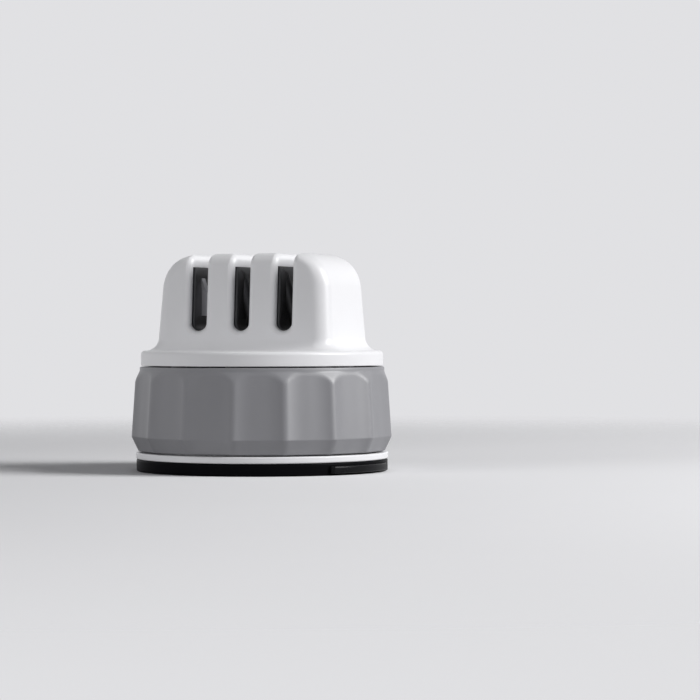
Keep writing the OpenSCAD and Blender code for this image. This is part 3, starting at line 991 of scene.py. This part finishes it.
@dataclass
class Head:
    """The white head with its flange and its three slots."""

    levels: Levels
    flange_high: float = 3.6 * MM
    flange_r: float = 29.5 * MM
    flange_edge: float = 1.0 * MM
    flange_land: float = 0.08 * MM
    flange_wall: float = 2.0 * MM
    length: float = 46.8 * MM
    width: float = 26.0 * MM
    draft: float = math.radians(3.7)
    corner_r: float = 4.0 * MM
    end_r: float = 8.0 * MM
    edge_r: float = 3.0 * MM
    foot_r: float = 3.0 * MM
    wall: float = 1.2 * MM
    top_wall: float = 3.2 * MM
    slot_width: float = 3.9 * MM
    slot_pitch: float = 11.4 * MM
    slot_floor: float = 4.8 * MM
    lip_r: float = 1.8 * MM
    floor_lip: float = 1.3 * MM
    rim_edge: float = 0.2 * MM
    corner_steps: int = 10
    foot_steps: int = 9
    round_steps: int = 20
    inside_steps: int = 4
    crown_drop: float = 0.35 * MM
    lip_steps: int = 9
    lip_turn: float = math.radians(78.0)
    spare: float = 0.5 * MM
    slip: float = 0.01 * MM
    roll_steps: int = 12
    bowl_columns: int = 72
    crease: float = 30.0

    @property
    def top(self) -> float:
        """Level of the head's crown, a little under the frame's box."""
        return self.levels.top - self.crown_drop

    @property
    def foot(self) -> float:
        """Level of the flange's upper face."""
        return self.levels.flange + self.flange_high

    @property
    def high(self) -> float:
        """Height of the head above the flange."""
        return self.top - self.foot

    def drop(self, height: float, radius: float) -> float:
        """How far a rounding of the top draws a side in at a height."""
        over = height - (self.high - radius)
        return 0.0 if over <= 0 else radius - math.sqrt(max(0.0, radius**2 - over**2))

    def half_length(self, height: float) -> float:
        """Half the head's length at a height above the flange."""
        return self.length / 2 - math.tan(self.draft) * height - self.drop(height, self.end_r)

    def half_width(self, height: float) -> float:
        """Half the head's width at a height above the flange."""
        return self.width / 2 - math.tan(self.draft) * height - self.drop(height, self.edge_r)

    def climb(self, bench: Bench, heights: Sequence[float]) -> None:
        """Extrudes the selected top face up step by step and draws its four sides in.

        Args:
            bench: The head or its inside, open in edit mode.
            heights: Heights above the flange, starting with that of the face.
        """
        for low, high in zip(heights, heights[1:]):
            level = self.foot + high
            bench.extrude(z=high - low)
            ends = self.half_length(low) - self.half_length(high)
            sides = self.half_width(low) - self.half_width(high)
            for sign in (-1.0, 1.0):
                bench.pick(lambda v: abs(v.z - level) < NEAR and v.x * sign > 0)
                bench.shift(x=-sign * ends)
                bench.pick(lambda v: abs(v.z - level) < NEAR and v.y * sign > 0)
                bench.shift(y=-sign * sides)
            bench.pick(lambda v: abs(v.z - level) < NEAR, Part.FACES)

    def plan(self, name: str, half_length: float, half_width: float, corner: float, level: float) -> Bench:
        """Adds a flat face with rounded corners.

        Args:
            name: Name of the piece.
            half_length: Half its length along X.
            half_width: Half its width along Y.
            corner: Radius of its corners.
            level: Its level.

        Returns:
            The piece, open in edit mode with the face selected.
        """
        put_down()
        bpy.ops.mesh.primitive_plane_add(size=1.0, location=(0.0, 0.0, level))
        bench = Bench(name)
        bench.piece.scale = (2 * half_length, 2 * half_width, 1.0)
        bench.open()
        bpy.ops.mesh.select_mode(type="VERT")
        bpy.ops.mesh.select_all(action="SELECT")
        bench.bevel(corner, self.corner_steps, points=True)
        bench.pick(lambda v: True, Part.FACES)
        return bench

    def outside(self) -> Bench:
        """Models the hollow foot, the drafted sides and the rounded top.

        Returns:
            The outside of the head, open below.
        """
        grow = self.foot_r
        half_length, half_width = self.half_length(0.0) + grow, self.half_width(0.0) + grow
        bench = self.plan("head_shell_moulded", half_length, half_width, self.corner_r + grow, self.foot)
        reached = 0.0
        for step in range(1, self.foot_steps + 1):
            turn = math.radians(90.0 * step / self.foot_steps)
            height = self.foot_r * (1.0 - math.cos(turn))
            now = self.foot_r * (1.0 - math.sin(turn)) - math.tan(self.draft) * height
            bpy.ops.mesh.inset(thickness=grow - now, depth=height - reached, use_even_offset=True)
            grow = now
            reached = height
        rounding = self.high - self.end_r
        turns = [math.radians(90.0 * step / self.round_steps) for step in range(self.round_steps + 1)]
        self.climb(bench, [reached] + [rounding + self.end_r * math.sin(turn) for turn in turns])
        return bench

    def inside(self) -> Bench:
        """Models the walls and the ceiling of the space inside the head.

        Returns:
            The inside of the head, open below.
        """
        start = self.levels.deck_top - self.foot
        bench = self.plan(
            "head_inside",
            self.half_length(start) - self.wall,
            self.half_width(start) - self.wall,
            self.corner_r - self.wall,
            self.foot + start,
        )
        rounding = self.high - self.end_r
        rise = self.high - self.top_wall - rounding
        shares = [step / self.inside_steps for step in range(self.inside_steps + 1)]
        self.climb(bench, [start] + [rounding + rise * share for share in shares])
        bench.pick(lambda v: abs(v.z - self.levels.deck_top) < NEAR, Part.FACES)
        bpy.ops.mesh.delete(type="ONLY_FACE")
        bpy.ops.mesh.select_all(action="SELECT")
        bpy.ops.mesh.flip_normals()
        return bench

    def rim(self) -> Bench:
        """Models the flange's rim.

        Returns:
            The rim, open where the head and its inside join it.
        """
        levels = self.levels
        inner = self.flange_r - self.flange_wall
        return turned("head_rim", [
            Corner(inner, levels.deck_top),
            Corner(inner, levels.flange),
            Corner(self.flange_r, levels.flange, self.rim_edge),
            Corner(self.flange_r, self.foot, self.flange_edge),
            Corner(self.flange_r - self.flange_edge - self.flange_land, self.foot),
        ], Profile.OPEN)

    def flare(self) -> list[tuple[float, float]]:
        """Works out half the outline of a slot's rounded edges.

        Returns:
            Pairs of half width and depth, from outside the head inwards.
        """
        inner = self.slot_width / 2 - self.slip
        points = [(inner + self.lip_r + self.spare, -self.spare)]
        for step in range(self.lip_steps + 1):
            turn = self.lip_turn * (1.0 - step / self.lip_steps)
            wide = inner + self.lip_r * (1.0 - math.cos(turn))
            points.append((wide, self.lip_r * (1.0 - math.sin(turn))))
        return points

    def over_the_head(self) -> Bench:
        """Draws the flare of the middle slot up the front, over the top and down the back.

        Returns:
            The cutter of the slot's rounded edges.
        """
        up = Vector((0.0, math.sin(self.draft), math.cos(self.draft)))
        inward = Vector((0.0, math.cos(self.draft), -math.sin(self.draft)))
        start = (self.slot_floor + self.slot_width / 2) / math.cos(self.draft)
        end = (self.high - self.edge_r) / math.cos(self.draft)
        origin = Vector((0.0, -self.width / 2, self.foot)) + up * start
        half = self.flare()
        outline = [(-x, d) for x, d in half] + [(x, d) for x, d in reversed(half)]
        bench = drawn("slot_cutter", [origin + Vector((x, 0.0, 0.0)) + inward * d for x, d in outline])
        bench.fill()
        climb = up * (end - start)
        edge_y = self.half_width(self.high - self.edge_r) - self.edge_r
        bench.extrude(*climb)
        self.roll(-edge_y)
        bench.extrude(y=2 * edge_y)
        self.roll(edge_y)
        bench.extrude(y=climb.y, z=-climb.z)
        bench.tidy()
        return bench

    def roll(self, y: float) -> None:
        """Spins the selected face over the long edge of the top that lies round a line at Y."""
        centre, turn = (0.0, y, self.top - self.edge_r), math.pi / 2 + self.draft
        bpy.ops.mesh.spin(steps=self.roll_steps, angle=turn, center=centre, axis=(1.0, 0.0, 0.0))

    def bowl(self, side: float) -> Bench:
        """Models the flared round floor of the slot, flatter below than at its sides.

        Args:
            side: -1 for the front of the head, 1 for the back.

        Returns:
            The cutter.
        """
        rounded = [Corner(x, depth) for x, depth in self.flare()]
        corners = [Corner(0.0, -self.spare), *rounded, Corner(0.0, self.lip_r)]
        bench = turned("slot_bowl", corners, Profile.OPEN, self.bowl_columns)
        half = self.slot_width / 2
        height = self.slot_floor + half
        out = self.width / 2 - math.tan(self.draft) * height
        bench.piece.scale = (1.0, (half + self.floor_lip) / (half + self.lip_r), 1.0)
        bench.piece.rotation_euler = (side * (math.pi / 2 + self.draft), 0.0, 0.0)
        bench.piece.location = (0.0, side * out, self.foot + height)
        bench.apply()
        return bench

    def cutter(self) -> Bench:
        """Models what the middle slot takes away: its rounded edges, its round floor and its upright walls.

        Returns:
            The cutter.
        """
        bench = self.over_the_head()
        for side in (-1.0, 1.0):
            bench.combine(self.bowl(side), Cut.ADD)
        floor = self.foot + self.slot_floor
        walls = slot_block("slot_walls", self.slot_width, floor, self.top + OVERRUN, self.width)
        bench.combine(walls, Cut.ADD)
        return bench

    def build(self) -> None:
        """Models the head shell, dresses it and fixes it to the stand."""
        bench = self.outside()
        bench.take_in(self.inside())
        bench.take_in(self.rim())
        bench.open()
        reach = self.flange_r - self.flange_edge - self.flange_land / 2
        for level in (self.foot, self.levels.deck_top):
            bench.pick(lambda v: abs(v.z - level) < NEAR and math.hypot(v.x, v.y) < reach, Part.EDGES)
            bpy.ops.mesh.bridge_edge_loops()
        bench.tidy()
        cutter = self.cutter()
        for x in (-self.slot_pitch, self.slot_pitch):
            bench.combine(cutter.copy("slot_cutter_copy", x), Cut.TAKE_AWAY)
        bench.combine(cutter, Cut.TAKE_AWAY)
        hand_over(bench, "stand", "head_shell", SHELL_WHITE, self.crease)


@dataclass
class Stage:
    """One dark insert with its slot and the abrasives in it."""

    levels: Levels
    head: Head
    name: str
    place: float
    inset: float = 1.3 * MM
    wide: float = 10.6 * MM
    edge_r: float = 0.46 * MM
    rod_r: float = 1.5 * MM
    rod_chamfer: float = 0.25 * MM
    rod_flats: int = 3
    edge_flats: int = 7
    side_margin: float = 0.5 * MM
    pocket_gap: float = 0.04 * MM
    lean: float = 17.0
    cross_high: float = 2.0 * MM
    rod_seat: float = 1.0 * MM
    rod_top_gap: float = 1.4 * MM
    first_row_y: float = -4.73 * MM

    @property
    def slot(self) -> float:
        """Level of the slot's floor."""
        return self.head.foot + self.head.slot_floor

    def front(self, level: float) -> float:
        """Distance of the insert's front face from the middle, at a level."""
        low = self.head.half_width(0.0) - self.head.wall - self.inset
        return low - math.tan(self.head.draft) * (level - self.head.foot)

    def lining(self, pockets: bool) -> Bench:
        """Models the insert: a drafted block with a slot whose front and rear edges are rounded.

        Args:
            pockets: Whether two rods lie in it.

        Returns:
            The insert in the middle slot.
        """
        low, high = self.levels.deck_top, self.levels.insert_top
        reach = self.front(low)
        half = self.wide / 2
        corner = Vector((half, reach, high))
        bench = brick(f"insert_{self.name}_lining", Vector((-half, -reach, low)), corner)
        bench.open()
        for sign in (-1.0, 1.0):
            bench.pick(lambda v: abs(v.z - high) < NEAR and v.y * sign > 0)
            bench.shift(y=-sign * (reach - self.front(high)))
        bench.tidy()
        slot = slot_block("lining_slot", self.head.slot_width, self.slot, high + OVERRUN, 3 * reach)
        bench.combine(slot, Cut.TAKE_AWAY)
        if pockets:
            for side in (-1.0, 1.0):
                bench.combine(self.rod("pocket", side, self.rod_r + self.pocket_gap), Cut.TAKE_AWAY)
        bench.open()
        inner = half - self.side_margin

        def at_face(v: Vector) -> bool:
            """Whether a point lies where the slot's walls or floor meet the front or the rear face."""
            return abs(abs(v.y) - self.front(v.z)) < LOOSE and abs(v.x) < inner and v.z > self.slot - NEAR

        bench.pick(at_face, Part.EDGES)
        bench.bevel(self.edge_r, self.edge_flats)
        bench.tidy()
        return bench

    def rod(self, name: str, side: float, radius: float) -> Bench:
        """Models one leaning rod with chamfered ends.

        Args:
            name: Name of the rod.
            side: -1 where its upper end leans to the left, 1 to the right.
            radius: Its radius.

        Returns:
            The rod in its place in the middle slot.
        """
        lean = math.radians(self.lean)
        cross = self.slot + self.cross_high
        low = -(self.cross_high + self.rod_seat) / math.cos(lean)
        high = (self.levels.insert_top - self.rod_top_gap - cross) / math.cos(lean)
        bench = pillar(name, radius, low, high)
        bench.open()
        bench.pick(lambda v: min(abs(v.z - low), abs(v.z - high)) < NEAR, Part.EDGES)
        bench.bevel(self.rod_chamfer, self.rod_flats)
        row = self.first_row_y if side < 0 else self.first_row_y + 2 * self.rod_r + 2 * self.pocket_gap
        bench.piece.rotation_euler = (0.0, side * lean, 0.0)
        bench.piece.location = (0.0, row, cross)
        bench.apply()
        return bench

    def build(self, rods: str | None, finish: Grit | None, slot: str) -> None:
        """Models the insert and its rods, dresses them and fixes them to the stand.

        Args:
            rods: Start of the rods' names, or nothing where the stage has carbide plates.
            finish: Finish of the rods.
            slot: Not used.
        """
        bench = self.lining(pockets=rods is not None)
        if rods and finish:
            for side, end in ((-1.0, "left"), (1.0, "right")):
                rod = self.rod(f"{rods}_{end}_ground", side, self.rod_r)
                rod.piece.location.x = self.place
                hand_over(rod, "stand", f"{rods}_{end}", finish)
        bench.piece.location.x = self.place
        hand_over(bench, "stand", f"insert_{self.name}", INSERT_DARK)


@dataclass
class BasePlate:
    """The white base plate: rim, dome and centre tower."""

    levels: Levels
    rim_r: float = 30.7 * MM
    rim_edge: float = 0.35 * MM
    dome_r: float = 26.62 * MM
    dome_wall: float = 1.8 * MM
    dome_edge: float = 1.2 * MM
    tower_r: float = 8.992 * MM
    tower_top: float = 22.6 * MM
    bore_r: float = 3.08 * MM
    roof: float = 11.0 * MM
    roof_thick: float = 1.6 * MM
    groove_in: float = 27.16 * MM
    groove_out: float = 28.44 * MM
    groove_deep: float = 0.94 * MM
    screw_ring_r: float = 5.996 * MM
    screw_hole_r: float = 1.18 * MM
    pin_gap: float = 0.08 * MM
    lift: float = 4.0 * MM

    def build(self) -> None:
        """Models the plate, dresses it and fixes it to the stand."""
        rim, under = self.levels.rim, self.roof - self.roof_thick
        pin_low, pin_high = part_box("lift_pin")
        bench = turned("base_plate_moulded", [
            Corner(self.bore_r, under),
            Corner(self.dome_r - self.dome_wall, under, self.dome_edge),
            Corner(self.dome_r - self.dome_wall, rim),
            Corner(self.groove_in, rim),
            Corner(self.groove_in, rim + self.groove_deep),
            Corner(self.groove_out, rim + self.groove_deep),
            Corner(self.groove_out, rim),
            Corner(self.rim_r, rim, self.rim_edge),
            Corner(self.rim_r, self.levels.rim_top, self.rim_edge),
            Corner(self.dome_r, self.levels.rim_top),
            Corner(self.dome_r, self.roof, self.dome_edge),
            Corner(self.tower_r, self.roof),
            Corner(self.tower_r, self.tower_top),
            Corner(self.bore_r, self.tower_top),
        ])
        for x, y in diagonal(self.screw_ring_r):
            hole = pillar("screw_hole", self.screw_hole_r, under - OVERRUN, self.tower_top + OVERRUN, x, y)
            bench.combine(hole, Cut.TAKE_AWAY)
        half = (pin_high.y - pin_low.y) / 2 + self.pin_gap
        window = brick(
            "pin_window",
            Vector((-self.tower_r - OVERRUN, -half, pin_low.z - self.pin_gap)),
            Vector((self.tower_r + OVERRUN, half, pin_high.z + self.lift + self.pin_gap)),
        )
        bench.combine(window, Cut.TAKE_AWAY)
        hand_over(bench, "stand", "base_plate", RIM_WHITE)


@dataclass
class SuctionCup:
    """The black rubber cup: thick rim with its tab, thin middle and the boss on the stem."""

    levels: Levels
    rim_r: float = 30.6 * MM
    seal_r: float = 27.4 * MM
    bead_r: float = 25.0 * MM
    boss_r: float = 6.5 * MM
    edge: float = 0.45 * MM
    dish: float = 1.4 * MM
    skin: float = 1.3 * MM
    rib_in: float = 27.2 * MM
    rib_out: float = 28.4 * MM
    rib_high: float = 0.9 * MM
    tab_reach: float = 1.1 * MM
    tab_from: float = math.radians(-33.0)
    tab_to: float = math.radians(9.0)
    tab_low: float = 0.5 * MM
    tab_thick: float = 1.7 * MM
    tab_sink: float = 0.05 * MM
    tab_corner: float = 0.9 * MM
    tab_edge: float = 0.3 * MM
    tab_columns: int = 32
    tab_corner_flats: int = 6
    tab_edge_flats: int = 3
    tab_end_near: float = math.radians(0.1)
    sectors: int = 8
    sector_columns: int = 12
    rings: int = 10
    bend_in: float = 1.0 * MM
    boss_rise: float = 1.0 * MM
    boss_columns: int = 120
    foot_neck_r: float = 3.04 * MM
    foot_r: float = 4.84 * MM
    foot_low: float = 2.01 * MM
    foot_high: float = 2.99 * MM

    def under(self, radius: float) -> float:
        """Level of the hollow underside at a radius."""
        return self.dish * (1.0 - (radius / self.seal_r) ** 2)

    def tab(self) -> Bench:
        """Models the release tab as a short arc with rounded corners.

        Returns:
            The tab.
        """
        inner, outer = self.rim_r - self.tab_sink, self.rim_r + self.tab_reach
        low, high = self.tab_low, self.tab_low + self.tab_thick
        turn = self.tab_to - self.tab_from
        corners = [Corner(inner, low), Corner(outer, low), Corner(outer, high), Corner(inner, high)]
        bench = turned("release_tab", corners, Profile.FILLED, self.tab_columns, self.tab_to, turn)
        middle = (self.tab_from + self.tab_to) / 2

        def at_end(v: Vector) -> bool:
            """Whether a point lies on the outer edge of one end."""
            off = abs(math.atan2(v.y, v.x) - middle)
            return off > turn / 2 - self.tab_end_near and math.hypot(v.x, v.y) > outer - NEAR

        def at_edge(v: Vector) -> bool:
            """Whether a point lies on the upper or the lower edge, clear of the rim."""
            flat = min(abs(v.z - low), abs(v.z - high)) < NEAR
            return flat and math.hypot(v.x, v.y) > self.rim_r + self.tab_edge / 2

        bench.pick(at_end, Part.EDGES)
        bench.bevel(self.tab_corner, self.tab_corner_flats)
        bench.pick(at_edge, Part.EDGES)
        bench.bevel(self.tab_edge, self.tab_edge_flats)
        bench.tidy()
        return bench

    def rim(self) -> None:
        """Models the thick rim and the tab on it, and fixes them to the stand."""
        top = self.levels.rim
        bench = turned("cup_rim", [
            Corner(self.bead_r, self.under(self.bead_r)),
            Corner(self.seal_r, 0.0),
            Corner(self.rim_r, 0.0, self.edge),
            Corner(self.rim_r, top, self.edge),
            Corner(self.rib_out, top),
            Corner(self.rib_out, top + self.rib_high),
            Corner(self.rib_in, top + self.rib_high),
            Corner(self.rib_in, top),
            Corner(self.bead_r, top, self.edge),
        ])
        hand_over(bench, "stand", "suction_cup", CUP_BLACK)
        hand_over(self.tab(), "stand", "suction_cup", TAB_BLACK)

    def middle(self) -> None:
        """Models the thin middle in equal sectors, each reaching from the rim to the boss."""
        turn = FULL_TURN / self.sectors
        span = self.bead_r - self.boss_r
        radii = [self.boss_r + span * step / self.rings for step in range(self.rings + 1)]
        upper = [Corner(r, self.under(r) + self.skin) for r in reversed(radii)]
        corners = [Corner(r, self.under(r)) for r in radii] + upper
        for sector in range(self.sectors):
            name, start = f"cup_middle_{sector + 1}", turn * (sector + 0.5)
            bench = turned(name, corners, Profile.FILLED, self.sector_columns, start, turn)
            bench.smooth()
            dress(bench.piece, CUP_BLACK.material())
            out = Vector((math.cos(turn * sector), math.sin(turn * sector), 0.0))
            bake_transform(bench.piece, "stand", "plunger", out * (self.bead_r - self.bend_in), out * self.boss_r)
            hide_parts("suction_cup")

    def boss(self) -> None:
        """Models the boss that holds the stem's foot and fixes it to the plunger."""
        top = self.levels.rim + self.boss_rise
        bench = turned("cup_boss", [
            Corner(0.0, self.under(0.0)),
            Corner(self.boss_r, self.under(self.boss_r)),
            Corner(self.boss_r, top, self.edge),
            Corner(self.foot_neck_r, top),
            Corner(self.foot_neck_r, self.foot_high),
            Corner(self.foot_r, self.foot_high),
            Corner(self.foot_r, self.foot_low),
            Corner(0.0, self.foot_low),
        ], Profile.OPEN, self.boss_columns)
        hand_over(bench, "plunger", "suction_cup", CUP_BLACK)

    def build(self) -> None:
        """Models the whole cup."""
        self.rim()
        self.middle()
        self.boss()


def dress_works() -> None:
    """Gives their finishes to the pieces that keep their frame meshes."""
    finishes = {
        RIM_WHITE: ("deck_plate",),
        INSERT_DARK: ("cam_plate",),
        WASHER_IVORY: ("slip_washer",),
        STEEL: ("base_screws", "cam_screws", "head_screws", "cup_stem", "lift_pin"),
        CARBIDE: ("carbide_left", "carbide_right"),
    }
    for finish, nodes in finishes.items():
        material = finish.material()
        for node in nodes:
            dress(bpy.data.objects[node], material)
            LOG.info("%s keeps its own mesh", node)


@dataclass(frozen=True)
class Lamp:
    """One soft lamp, aimed at the middle of the sharpener.

    Args:
        name: Name of the lamp.
        place: Where it stands.
        size: Width and height of its face.
        power: Its power in watts.
        mirrored: Whether glossy surfaces show it.
    """

    name: str
    place: tuple[float, float, float]
    size: tuple[float, float]
    power: float
    mirrored: bool = True


@dataclass
class Studio:
    """Pale floor and backdrop, soft lamps and the camera."""

    azimuth: float = 26.0
    distance: float = 635.0 * MM
    eye: float = 33.1 * MM
    aim_right: float = 21.45 * MM
    aim_high: float = 29.3 * MM
    lens: float = 133.7
    sensor: float = 36.0
    clip: float = 10.0 * MM
    floor_size: float = 6.0
    roll: float = -0.06
    middle: float = 30.0 * MM
    dim: float = 0.04
    dim_colour: Colour = (0.86, 0.88, 0.92)
    pale: float = 0.94
    pale_colour: Colour = (0.80, 0.80, 0.82)
    lamps: tuple[Lamp, ...] = (
        Lamp("key_lamp", (0.77, 0.12, 0.48), (0.42, 0.60), 9.2),
        Lamp("top_lamp", (0.20, 0.15, 0.90), (0.5, 0.5), 0.3),
        Lamp("fill_lamp", (-0.55, -0.94, 0.18), (0.6, 0.3), 4.4, False),
    )

    def floor(self) -> None:
        """Lays the floor."""
        put_down()
        bpy.ops.mesh.primitive_plane_add(size=self.floor_size, location=(0.0, 0.0, 0.0))
        bench = Bench("studio_floor")
        dress(bench.piece, PAPER.material())

    def light(self) -> None:
        """Sets up the lamps."""
        for lamp in self.lamps:
            bpy.ops.object.light_add(type="AREA", location=lamp.place)
            light = bpy.context.active_object
            light.name = lamp.name
            light.data.shape = "RECTANGLE"
            light.data.size, light.data.size_y = lamp.size
            light.data.energy = lamp.power
            light.visible_glossy = lamp.mirrored
            way = Vector((0.0, 0.0, self.middle)) - Vector(lamp.place)
            light.rotation_euler = way.to_track_quat("-Z", "Y").to_euler()

    def world(self) -> None:
        """Sets up a dim world that camera, glossy and transmission rays see as a pale backdrop."""
        graph = Graph(bpy.data.worlds.new("studio_world"))
        bpy.context.scene.world = graph.owner
        dim = graph.out("Background", {}, {"Color": self.dim_colour, "Strength": self.dim})
        pale = graph.out("Background", {}, {"Color": self.pale_colour, "Strength": self.pale})
        sky = graph.out("MixShader", {}, {0: graph.seen(), 1: dim, 2: pale})
        graph.node("OutputWorld", {}, {"Surface": sky})

    def camera(self) -> None:
        """Places the camera at the photograph's angle."""
        turn = math.radians(self.azimuth)
        right = Vector((math.cos(turn), math.sin(turn), 0.0))
        back = Vector((math.sin(turn), -math.cos(turn), 0.0))
        place = back * self.distance + Vector((0.0, 0.0, self.eye))
        target = right * self.aim_right + Vector((0.0, 0.0, self.aim_high))
        bpy.ops.object.camera_add(location=place)
        camera = bpy.context.active_object
        camera.name = "camera"
        camera.data.lens = self.lens
        camera.data.sensor_width = self.sensor
        camera.data.clip_start = self.clip
        camera.rotation_mode = "QUATERNION"
        look = (target - place).to_track_quat("-Z", "Y")
        rolled = look.to_matrix() @ Matrix.Rotation(math.radians(self.roll), 3, "Z")
        camera.rotation_quaternion = rolled.to_quaternion()
        bpy.context.scene.camera = camera

    def build(self) -> None:
        """Sets the studio up."""
        self.floor()
        self.light()
        self.world()
        self.camera()
        bpy.context.scene.view_settings.view_transform = "Standard"


def main() -> None:
    """Builds the sharpener and its studio."""
    logging.basicConfig(level=logging.INFO, format="%(name)s: %(message)s")
    levels = Levels.from_frame()
    head = Head(levels)
    head.build()
    GripRing(levels).build()
    BasePlate(levels).build()
    SuctionCup(levels).build()
    Stage(levels, head, "coarse", -head.slot_pitch).build(None, None, "carbide")
    Stage(levels, head, "medium", 0.0).build("diamond_rod", DIAMOND, "diamond_coat")
    Stage(levels, head, "fine", head.slot_pitch).build("ceramic_rod", CERAMIC, "ceramic")
    dress_works()
    Studio().build()


if __name__ == "__main__":
    main()
